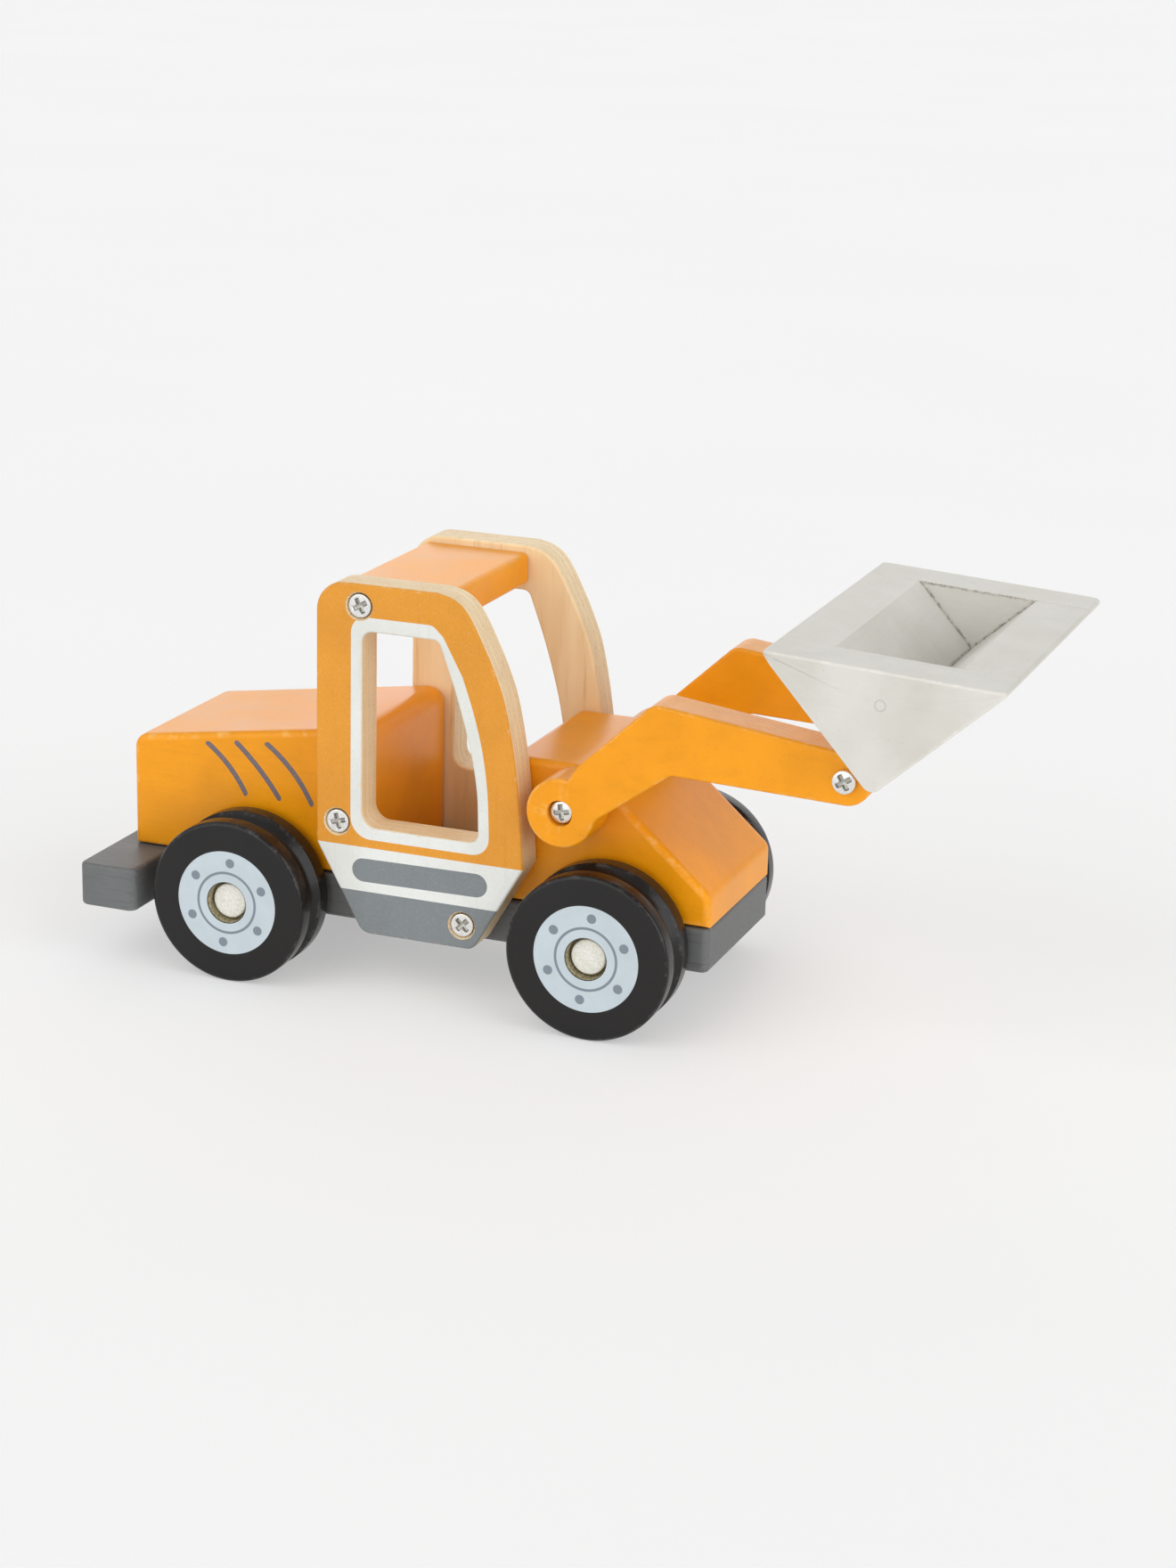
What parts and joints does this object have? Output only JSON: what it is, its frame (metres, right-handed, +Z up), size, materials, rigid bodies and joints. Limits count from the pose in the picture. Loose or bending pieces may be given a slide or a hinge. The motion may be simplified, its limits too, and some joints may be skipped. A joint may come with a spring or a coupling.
{
  "type": "toy wheel loader",
  "caption": "Wooden toy wheel loader with rolling wheels, open plywood cab, cranked lift arms and a tipping trough bucket.",
  "frame": {"origin": "on the ground under the middle of the toy's bounding box", "axes": "+X forwards towards the bucket, +Y towards the toy's left-hand side, +Z up"},
  "size_m": [0.2659, 0.1112, 0.1174],
  "materials": {
    "orange_paint": "satin orange paint on solid wood",
    "arm_ply": "satin orange paint on plywood",
    "cab_ply": "printed orange, white and grey outer face on clear lacquered birch plywood",
    "grey_paint": "satin dark grey paint on solid wood",
    "bucket_paint": "matt light grey paint on solid wood",
    "black_paint": "semi-gloss black paint on turned wood, pale printed disc on the outer face",
    "bare_dowel": "bare pale dowel",
    "zinc_steel": "bright zinc-plated steel"
  },
  "bodies": {
    "chassis": {"chassis_plank": "grey_paint", "rear_hood": "orange_paint", "front_hood": "orange_paint", "cab_side_right": "cab_ply", "cab_side_left": "cab_ply", "cab_roof": "orange_paint", "cab_screw_roof_right": "zinc_steel", "cab_screw_hood_right": "zinc_steel", "cab_screw_plank_right": "zinc_steel", "cab_screw_roof_left": "zinc_steel", "cab_screw_hood_left": "zinc_steel", "cab_screw_plank_left": "zinc_steel", "lift_screw_right": "zinc_steel", "lift_screw_left": "zinc_steel"},
    "lift_arms": {"arm_right": "arm_ply", "arm_left": "arm_ply"},
    "bucket": {"bucket_back": "bucket_paint", "bucket_floor": "bucket_paint", "bucket_cheek_right": "bucket_paint", "bucket_cheek_left": "bucket_paint", "bucket_hinge_block": "bucket_paint", "tilt_screw_right": "zinc_steel", "tilt_screw_left": "zinc_steel"},
    "rear_wheels": {"axle_rear": "bare_dowel", "wheel_rear_right": "black_paint", "wheel_rear_left": "black_paint"},
    "front_wheels": {"axle_front": "bare_dowel", "wheel_front_right": "black_paint", "wheel_front_left": "black_paint"}
  },
  "joints": [
    {"name": "arm_lift", "type": "hinge", "parent": "chassis", "child": "lift_arms", "pos_m": [0.0102, 0, 0.0613], "axis": [0, -1, 0], "range_deg": [-50, 60]},
    {"name": "bucket_tilt", "type": "hinge", "parent": "lift_arms", "child": "bucket", "pos_m": [0.0892, 0, 0.0812], "axis": [0, 1, 0], "range_deg": [-42, 140]},
    {"name": "rear_axle_spin", "type": "hinge", "parent": "chassis", "child": "rear_wheels", "pos_m": [-0.0868, 0, 0.0235], "axis": [0, 1, 0], "continuous": true},
    {"name": "front_axle_spin", "type": "hinge", "parent": "chassis", "child": "front_wheels", "pos_m": [0.0212, 0, 0.0235], "axis": [0, 1, 0], "continuous": true}
  ]
}
